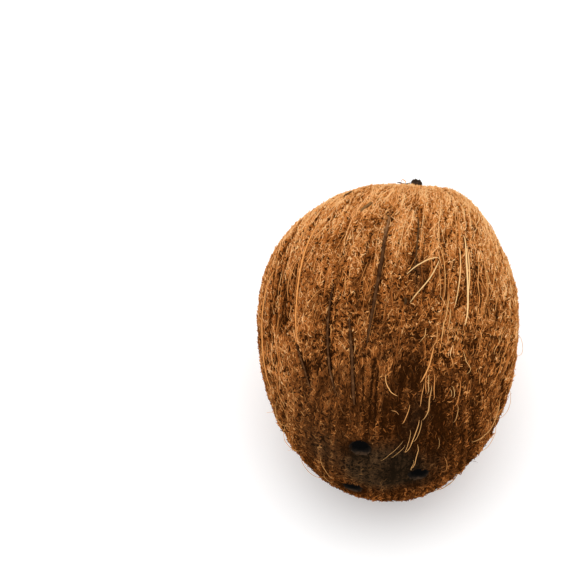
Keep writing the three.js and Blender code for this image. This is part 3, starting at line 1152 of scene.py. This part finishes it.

# %% [markdown]
# ## Strands that hang loose
# Husking tears some fibres half off. They are the palest things on the nut, and a few stand well
# clear of it and throw a shadow. Each one is given: two to six places along it, as station
# and angle, with its height above the skin in the middle. A smooth curve goes through them. A few
# dark scraps of husk, in the mat and round the tip, are laid in the same way.

# %% Where the loose strands lie
LOOSE_STRANDS = [  # (places), radius and height in mm, tone, hue
    ([(2, 69), (-2, 76), (-8, 84)], 0.23, 1.6, 0.88, 0.8),
    ([(1, 69), (-10, 74), (-20, 82)], 0.23, 1.3, 0.86, 1.0),
    ([(8, 69), (-1, 67), (-15, 66)], 0.16, 0.6, 0.71, 0.5),
    ([(1, 69.5), (-8, 69), (-16, 68)], 0.13, 0.4, 0.64, 0.5),
    ([(14, 65), (6, 66)], 0.14, 0.2, 0.66, 0.4),
    ([(11, 59), (-1, 59), (-19, 61)], 0.22, 0.7, 0.84, 0.7),
    ([(18, 56), (2, 56), (-14, 55.5), (-25, 55)], 0.32, 0.8, 0.92, 0.8),
    ([(12, 54.6), (-2, 54.4), (-12, 55)], 0.24, 0.6, 0.88, 0.7),
    ([(8, 45), (-3, 44), (-14, 46)], 0.14, 0.4, 0.66, 0.6),
    ([(30, 54), (26, 49), (22, 46)], 0.16, 0.3, 0.72, 0.4),
    ([(-13, 64), (-23, 65), (-29, 66)], 0.19, 0.6, 0.66, 0.7),
    ([(-20, 63), (-29, 63.5)], 0.14, 0.4, 0.70, 0.9),
    ([(-28, 69), (-35, 68), (-38, 70)], 0.17, 0.5, 0.60, 0.5),
    ([(-26, 66), (-34, 66)], 0.22, 0.4, 0.70, 0.6),
    ([(-30, 74), (-34, 74), (-36, 76)], 0.13, 0.6, 0.72, 0.8),
    ([(-37, 69), (-45, 70), (-50, 72)], 0.27, 0.8, 0.66, 0.3),
    ([(-46, 70), (-50, 70), (-53, 67)], 0.17, 0.5, 0.56, 0.3),
    ([(-50, 65), (-54, 65), (-57, 62), (-60, 62)], 0.20, 0.7, 0.62, 0.9),
    ([(-60, 65), (-64, 64), (-67, 60)], 0.13, 0.9, 0.74, 0.7),
    ([(-60, 63), (-63, 61), (-65, 60)], 0.10, 0.6, 0.68, 0.8),
    ([(-63, 68), (-66, 65), (-67, 62)], 0.10, 0.7, 0.64, 0.8),
    ([(-65.2, 53), (-66.2, 49), (-67, 44), (-67.7, 37), (-68.1, 25)], 0.13, 0.7, 0.72, 0.7),
    ([(-67.5, 40), (-68, 33), (-68.2, 22)], 0.10, 0.5, 0.60, 1.0),
    ([(-65.4, 70), (-66.2, 74), (-66.9, 77), (-67.6, 82), (-68, 88), (-68.4, 97)], 0.09, 0.6, 0.54, 1.0),
    ([(-66, 66), (-67, 71), (-68, 76)], 0.09, 0.6, 0.56, 1.0),
    ([(-57, 75), (-60, 76), (-62, 77)], 0.14, 0.7, 0.66, 0.4),
    ([(-47, 69), (-50, 68), (-53, 66)], 0.11, 0.8, 0.76, 1.0),
    ([(-46, 66), (-51, 64), (-54, 61)], 0.17, 0.6, 0.60, 0.2),
    ([(-50, 70), (-54, 70), (-57, 68)], 0.13, 0.6, 0.64, 0.4),
    ([(-48, 53), (-51, 49)], 0.12, 0.4, 0.76, 1.0),
    ([(-49, 54), (-51, 51)], 0.10, 0.4, 0.70, 1.0),
    ([(-45, 50), (-50, 47), (-53, 45)], 0.18, 0.4, 0.56, 0.2),
    ([(-52, 44), (-55, 41), (-57, 39)], 0.11, 0.5, 0.64, 0.8),
    ([(-62, 41), (-64, 33)], 0.09, 0.3, 0.58, 0.8),
    ([(-64, 18), (-64, 8), (-64, -7)], 0.11, 0.4, 0.56, 0.4),
    ([(-64, 168), (-65, 184), (-65, 203)], 0.11, 0.5, 0.66, 0.6),
    ([(-63, 198), (-64, 212)], 0.10, 0.4, 0.60, 0.7),
    ([(-48, 92), (-51, 92), (-54, 89), (-55, 84)], 0.16, 0.8, 0.74, 0.6),
    ([(-59, 87), (-59, 84), (-60, 81)], 0.13, 0.6, 0.52, 0.8),
    ([(-35, 54), (-39, 52), (-40, 47), (-42, 47)], 0.12, 0.6, 0.74, 0.9),
    ([(22, 124), (15, 127), (7, 130), (-4, 133), (-13, 134), (-31, 137)], 0.30, 0.5, 0.70, 0.15),
    ([(7, 135), (-2, 138), (-10, 140)], 0.14, 0.3, 0.62, 0.3),
    ([(8, 148), (-2, 155), (-13, 159), (-27, 165), (-36, 169)], 0.26, 0.5, 0.68, 0.2),
    ([(-12, 121), (-16, 126), (-21, 132)], 0.15, 0.8, 0.62, 0.3),
    ([(28, 40), (19, 38), (5, 39), (-9, 43)], 0.16, 0.5, 0.68, 0.3),
    ([(-50, 168), (-53, 176), (-57, 182)], 0.10, 2.6, 0.70, 0.6),
    ([(-42, 162), (-47, 168), (-51, 170)], 0.09, 2.2, 0.70, 0.8),
    ([(-56, 190), (-60, 196), (-62, 206)], 0.10, 2.0, 0.66, 0.6),
    ([(-44, 8), (-50, 2), (-54, -6)], 0.10, 2.6, 0.66, 0.6),
    ([(-30, 10), (-36, 4), (-42, 2)], 0.09, 2.2, 0.66, 0.6),
    ([(-8, 14), (-14, 10), (-18, 12)], 0.09, 1.8, 0.70, 0.7),
    ([(5, 134), (-3, 138)], 0.16, 0.3, 0.62, 0.2),
    ([(29, 102), (27, 103.4), (25, 105.5), (23.6, 106.4)], 0.50, -0.15, 0.36, 1.0),
    ([(40.5, 116), (38, 117), (36, 118.5)], 0.38, -0.15, 0.22, 0.8),
    ([(-18.4, 84.8), (-20.2, 84.1), (-21.4, 84.6)], 0.50, -0.05, 0.08, 1.0),
    ([(22, 79.6), (14, 79.1), (7, 79.6), (1, 80), (-6, 80.6)], 0.26, -0.05, 0.16, 1.0),
    ([(-9, 111), (-16, 111)], 0.14, 0.4, 0.70, 0.4),
    ([(24, 250), (6, 262), (-16, 258)], 0.20, 0.2, 0.72, 0.6),
    ([(20, 205), (4, 199), (-14, 204), (-30, 203)], 0.22, 0.6, 0.74, 0.7),
    ([(44, 180), (30, 186), (12, 184)], 0.19, 0.6, 0.70, 0.5),
    ([(-4, 232), (-20, 226), (-38, 230)], 0.17, 0.5, 0.66, 0.7),
    ([(36, 322), (16, 318), (-6, 324)], 0.20, 0.6, 0.74, 0.6),
    ([(10, 352), (-8, 346), (-22, 350)], 0.17, 0.6, 0.70, 0.8),
    ([(58, 96), (48, 88), (36, 90)], 0.19, 0.6, 0.76, 0.5),
    ([(62, 30), (52, 20), (38, 24)], 0.17, 0.7, 0.74, 0.4),
    ([(60, 205), (50, 214), (40, 212)], 0.19, 0.7, 0.74, 0.5),
    ([(-40, 312), (-52, 318), (-60, 312)], 0.17, 0.5, 0.66, 0.9),
    ([(-38, 12), (-48, 6), (-56, 10)], 0.16, 0.6, 0.64, 0.8),
    ([(68, 168), (71, 162), (74, 150)], 0.30, 0.5, 0.12, 0.9),
    ([(56, 98), (57, 92), (58, 86)], 0.28, -1.5, 0.08, 1.0),
    ([(69, 190), (72, 185), (74, 176)], 0.24, 0.4, 0.10, 0.8),
    ([(70, 20), (72, 28), (74, 40)], 0.26, 0.4, 0.14, 0.9),
    ([(71, 290), (73, 282), (74, 270)], 0.26, 0.3, 0.12, 0.9),
    ([(70, 96), (72, 90), (74, 80)], 0.22, 0.3, 0.30, 0.6),
]
print("strands laid by hand:", len(LOOSE_STRANDS))

# %% Points along a laid strand
STRAND_STEPS = 22
ROUNDING = 10
COIR_DEPTH = 0.75  # how far the loose strands lie above the plain solid, in mm
TUCKED_IN = 0.9  # how much deeper their two ends go
TUCK_SHARPNESS = 6  # the higher, the closer to the end a strand goes under
ARCH_FULLNESS = 0.7  # under 1 keeps a strand high until close to its ends
LAID_CLEARANCE = 1.4  # how far a strand's middle keeps from the table, in radii
LAID_SIDES = 6


def smooth_through(values, steps, rounds=ROUNDING):
    """Even steps past these values, with the corners rounded off."""
    line = np.interp(np.linspace(0, len(values) - 1, steps), range(len(values)), values)
    for _ in range(rounds):
        line[1:-1] = (line[:-2] + 2 * line[1:-1] + line[2:]) / 4
    return line


def strand_points(strands, steps):
    """One mesh of loose points, which carry each strand's number, place on it, radius and colour."""
    facts = {name: [] for name in ("fibre", "along", "half_width", "tone", "hue")}
    places = []
    share = np.linspace(0, 1, steps)
    for number, (path, radius, height, tone, hue) in enumerate(strands):
        stations, angles = (smooth_through(v, steps) for v in zip(*path))
        tucked = TUCKED_IN * np.abs(2 * share - 1) ** TUCK_SHARPNESS
        heights = COIR_DEPTH + height * np.sin(math.pi * share) ** ARCH_FULLNESS - tucked
        laid = [on_husk(*spot) for spot in zip(stations, angles, heights)]
        places += [(x, y, max(z, radius * LAID_CLEARANCE * MM)) for x, y, z in laid]
        facts["fibre"] += [number] * steps
        facts["along"] += list(share)
        facts["half_width"] += [radius * MM] * steps
        facts["tone"] += [tone] * steps
        facts["hue"] += [hue] * steps
    mesh = bpy.data.meshes.new("laid strands")
    mesh.from_pydata(places, [], [])
    for name, values in facts.items():
        write(mesh, name, np.array(values))
    return mesh


# %% Tree for listed strands
KNOTS_PER_METRE = 400.0
THINNEST = 0.65  # between knots, as a share of the strand's own radius
KNOT_SIZE = 0.7
LAID_THINNING = 0.55  # how much thinner its two ends are


def laid_strand_tree():
    tree = NodeTree("laid strands", seed=1)
    points = tree.add("GeometryNodeMeshToPoints", tree.input("Geometry"), mode="VERTICES")
    points = tree.store(points, "fibre", tree.read("fibre"), "INT")
    uneven = tree.noise(tree.add("GeometryNodeInputPosition"), KNOTS_PER_METRE) * KNOT_SIZE + THINNEST
    from_middle = tree.read("along") * 2.0 - 1.0
    thinner = maths("POWER", maths("ABSOLUTE", from_middle), 3.0) * -LAID_THINNING + 1.0
    spun(tree, points, tree.read("half_width") * uneven * thinner, LAID_SIDES)
    return tree


laid_strands = laid_strand_tree()
loose_strands = grow(
    "loose_strands", strand_points(LOOSE_STRANDS, STRAND_STEPS), laid_strands, material=fibre_finish
)

# %% [markdown]
# ## The dark strands in the seams
# Each seam holds a dark strand of packed fibre, which is what shows as a line down the nut. The same
# tree lays it along the seam's path, low enough that the coir closes over it here and there.

# %% Seam strands
SEAM_STRAND_RADII = (0.66, 0.56, 0.42, 0.32, 0.60, 0.60)  # mm, seam by seam
SEAM_STRAND_HEIGHT = -0.76  # mm, against the loose strands
SEAM_STEPS = 90
SEAM_TONES = [(0.25, (0.026, 0.010, 0.004)), (0.55, (0.085, 0.036, 0.014)), (1.0, (0.270, 0.130, 0.055))]
PALER_FROM = -4 * MM  # from this place along the table on, the strands get paler towards the apex
PALER_PER_METRE = 40.0


def seam_material():
    made, tree, shader = dry_material("seam strand")
    place = add(tree, "ShaderNodeTexCoord").other("Object")
    along_table = add(tree, "ShaderNodeSeparateXYZ", place).other("Y")
    past_the_girth = maths("MAXIMUM", along_table - PALER_FROM, 0.0)
    grime = add(tree, "ShaderNodeTexNoise", place, 500.0) + past_the_girth * PALER_PER_METRE
    wire(tree, shader, tone_ramp(tree, grime, SEAM_TONES))
    return made


paths = [(path, wide, SEAM_STRAND_HEIGHT, 0.2, 1.0) for path, wide in zip(SEAMS, SEAM_STRAND_RADII)]
seam_points_mesh = strand_points(paths, SEAM_STEPS)
seam_strands = grow("seam_strands", seam_points_mesh, laid_strands, material=seam_material())

# %% [markdown]
# ## Fly-away hairs and the tuft at the tip
# Against a plain ground the nut's edge is never clean: thin hairs stick out of it all round. The
# tip keeps a tuft of torn fibres about its dry stub. Both come from the tree for short fibres, with
# other sizes, and for the tuft with another number for where fibres grow.

# %% Hairs and tuft
hairs = grow(
    "fly_away_hairs", skin.data, short_fibres, material=fibre_finish,
    per_square_metre=4e3, points_each=8, shortest=3 * MM, longest=9 * MM, radius=0.07 * MM,
    stray=1.3, bend=1.8, rise=0.4, sunk=0.1 * MM, curl=0.12, tone=0.15, tone_spread=0.2, straw=0.7, seed=31,
)
tip_skin = skin.data.copy()
tip_cover = np.empty(len(tip_skin.vertices), np.float32)
tip_skin.attributes["tip"].data.foreach_get("value", tip_cover)
tip_skin.attributes["cover"].data.foreach_set("value", tip_cover)
tuft = grow(
    "tip_tuft", tip_skin, short_fibres, material=fibre_finish,
    per_square_metre=6e5, points_each=5, shortest=1.5 * MM, longest=4 * MM, radius=0.15 * MM,
    stray=1.4, bend=1.6, rise=0.12, sunk=0.1 * MM, curl=0.12, tone=0.0, tone_spread=0.3, straw=0.5, seed=41,
)

# %% [markdown]
# ## The three eyes
# A coconut has three soft spots at one end, where it could sprout. Each is a dark smooth disc a
# little below the husk, with fine creases. A disc of rings and spokes is laid on the skin by rays,
# its rim goes under, and a second layer closes it from below.

# %% Closed shapes from rings
def bridged(shape, inner, outer, outwards=True):
    """Faces from one ring of points to the next. The inner one may be a single point."""
    count = len(outer)
    for spoke in range(count):
        after = (spoke + 1) % count
        inside = [inner[0]] if len(inner) == 1 else [inner[after], inner[spoke]]
        face = [outer[spoke], outer[after], *inside]
        shape.faces.new(face if outwards else face[::-1])


def finished(shape, name, fact, values, material):
    """Turns the faces outwards, shades them smooth and stores one fact on the points."""
    bmesh.ops.recalc_face_normals(shape, faces=shape.faces[:])
    for face in shape.faces:
        face.smooth = True
    mesh = bpy.data.meshes.new(name)
    shape.to_mesh(mesh)
    shape.free()
    write(mesh, fact, np.array(values))
    mesh.materials.append(material)
    return put_in_scene(name, mesh)


# %% Finish of the eyes
EYE_TONES = [(0.60, (0.003, 0.003, 0.003)), (0.85, (0.012, 0.009, 0.007)), (1.0, (0.050, 0.030, 0.018))]


def eye_material():
    made, tree, shader = dry_material("dark eye")
    place = add(tree, "ShaderNodeTexCoord").other("Object")
    grime = add(tree, "ShaderNodeTexNoise", place, 700.0, 4.0, 0.7)
    # painted shade: the eye is darkest a little above its middle, under its upper rim; the noise is its own
    # grime
    rim_shade_and_grime = number_on(tree, "from_dark_shaded_spot") + (grime - 0.5) * 0.5
    wire(tree, shader, tone_ramp(tree, rim_shade_and_grime, EYE_TONES), grime, strength=0.3)
    return made


# %% Eye discs
EYE_DISC = 4.5 * MM
EYE_RINGS = 16
EYE_SPOKES = 48
EYE_PROUD = 0.25 * MM
EYE_RIM_SUNK = 0.5 * MM
EYE_THICK = 1.2 * MM
EYE_RAY_START = 8 * MM  # how far inside the nut the rays start
EYE_SHADED_SPOT_RISE = 0.2  # painted shade: how far up from its middle an eye is drawn darkest, as a share of its radius, for the shadow under its upper rim


def eye_point(number, middle, share, turn, deeper):
    """A point of an eye's disc, at a share of its radius and a turn round it."""
    uneven = 1 + 0.04 * math.sin(2 * turn + number) + 0.03 * math.sin(5 * turn)
    reach = EYE_DISC * share * uneven
    start = middle + LONG * EYE_RAY_START + SIDE * reach * math.cos(turn) + UP * reach * math.sin(turn)
    crease = 0.10 * MM * math.sin(11 * turn + 3 * number) * share
    crease += 0.08 * MM * math.sin(14 * share + 2 * math.sin(3 * turn))
    height = (EYE_PROUD + crease) * (1 - share ** 8) - EYE_RIM_SUNK * share ** 8 - deeper
    return skin_rays.ray_cast(start, -LONG)[0] - LONG * height


def make_eye(number, middle):
    shape = bmesh.new()
    from_dark_shaded_spot = []  # 0 in the darkest spot, which is a little above the eye's middle: painted shade under the upper rim
    layers = []
    for deeper in (0, EYE_THICK):
        rings = []
        for share in (ring / EYE_RINGS for ring in range(EYE_RINGS + 1)):
            row = []
            for spoke in range(EYE_SPOKES if share else 1):
                turn = 2 * math.pi * spoke / EYE_SPOKES
                row.append(shape.verts.new(eye_point(number, middle, share, turn, deeper)))
                from_dark_shaded_spot.append(math.hypot(share * math.cos(turn), share * math.sin(turn) - EYE_SHADED_SPOT_RISE))
            rings.append(row)
        layers.append(rings)
    for rings, outwards in zip(layers, (True, False)):
        for inner, outer in zip(rings, rings[1:]):
            bridged(shape, inner, outer, outwards)
    bridged(shape, layers[0][-1], layers[1][-1])
    return finished(shape, f"eye_{number}", "from_dark_shaded_spot", from_dark_shaded_spot, eye_finish)


eye_finish = eye_material()
eyes = [make_eye(number + 1, middle) for number, middle in enumerate(eye_places)]
print("eyes:", [eye.name for eye in eyes])

# %% [markdown]
# ## The dry stub
# The nut hung from its tree by the other end of its husk, and what is left there is a dark, dry,
# ribbed stub with a torn top. Rings round the nut's leaning tip are joined into one closed shape,
# with ribs and a ragged rim from a few sine waves.

# %% Finish of the stub
BARK_TONES = [(0.30, (0.010, 0.007, 0.005)), (0.55, (0.045, 0.028, 0.019)), (0.8, (0.17, 0.10, 0.06))]
WOOD_TONES = [(0.30, (0.030, 0.016, 0.009)), (0.55, (0.130, 0.070, 0.035)), (0.8, (0.36, 0.22, 0.12))]


def stub_material():
    made, tree, shader = dry_material("dry stub")
    place = add(tree, "ShaderNodeTexCoord").other("Object")
    fine = add(tree, "ShaderNodeTexNoise", place, 1400.0, 4.0, 0.7)
    bark = tone_ramp(tree, fine, BARK_TONES)
    wood = tone_ramp(tree, fine, WOOD_TONES)
    wire(tree, shader, blended(tree, number_on(tree, "torn"), bark, wood), fine, strength=0.6)
    return made


# %% Stub
STUB_RINGS = [  # station and radius in mm, from inside the husk to the middle of the torn top, and how torn
    (70.0, 3.6, 0), (73.4, 3.1, 0), (75.0, 2.6, 0), (76.4, 2.3, 0), (77.6, 2.1, 0), (78.6, 2.1, 0),
    (79.6, 2.2, 0), (80.3, 2.1, 0.1), (80.8, 1.8, 0.4), (80.9, 1.4, 0.9), (80.6, 1.0, 1), (80.4, 0.5, 1),
]
STUB_SPOKES = 60
TORN_FROM = 79  # mm, the station past which the rings are ragged


def make_stub():
    shape = bmesh.new()
    tip_line = GIRTH_MIDDLE + SIDE * APEX_LEAN[0] + UP * APEX_LEAN[1]
    rings = []
    for number, (at, radius, _) in enumerate(STUB_RINGS):
        row = []
        for spoke in range(STUB_SPOKES):
            turn = 2 * math.pi * spoke / STUB_SPOKES
            rib = 1 + 0.10 * math.sin(7 * turn + 0.3 * number) + 0.07 * math.sin(13 * turn - 0.5 * number)
            ragged = 0.25 * math.sin(3 * turn + 1) + 0.12 * math.sin(8 * turn) - 0.1 if TORN_FROM < at else 0
            along = LONG * (at + ragged) * MM
            row.append(shape.verts.new(tip_line + along + outward(math.degrees(turn)) * radius * rib * MM))
        rings.append(row)
    for lower, upper in zip(rings, rings[1:]):
        bridged(shape, upper, lower)
    shape.faces.new(rings[0])
    shape.faces.new(rings[-1])
    torn = np.repeat([torn for _, _, torn in STUB_RINGS], STUB_SPOKES)
    return finished(shape, "dry_stub", "torn", torn, stub_material())


stub = make_stub()
print("stub points:", len(stub.data.vertices))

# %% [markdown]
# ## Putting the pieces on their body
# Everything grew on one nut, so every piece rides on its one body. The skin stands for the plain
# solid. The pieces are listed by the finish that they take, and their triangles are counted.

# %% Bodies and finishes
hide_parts("coconut")
pieces_by_slot = {
    "coir": [skin, felt, crumbs, chips, combed, seam_strands],
    "loose_fibre": [long_strands, split_strands, loose_strands, hairs, tuft],
    "eye": eyes,
    "stub": [stub],
}
triangles = 0
for slot, pieces in pieces_by_slot.items():
    for piece in pieces:
        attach(piece, "root")
        piece.data.calc_loop_triangles()
        triangles += len(piece.data.loop_triangles)
print("triangles in all:", triangles)

low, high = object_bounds()
grown = zip((*cad_low, *high), (*low, *cad_high))
print("grown past the solid, mm:", [round((a - b) / MM, 1) for a, b in grown])
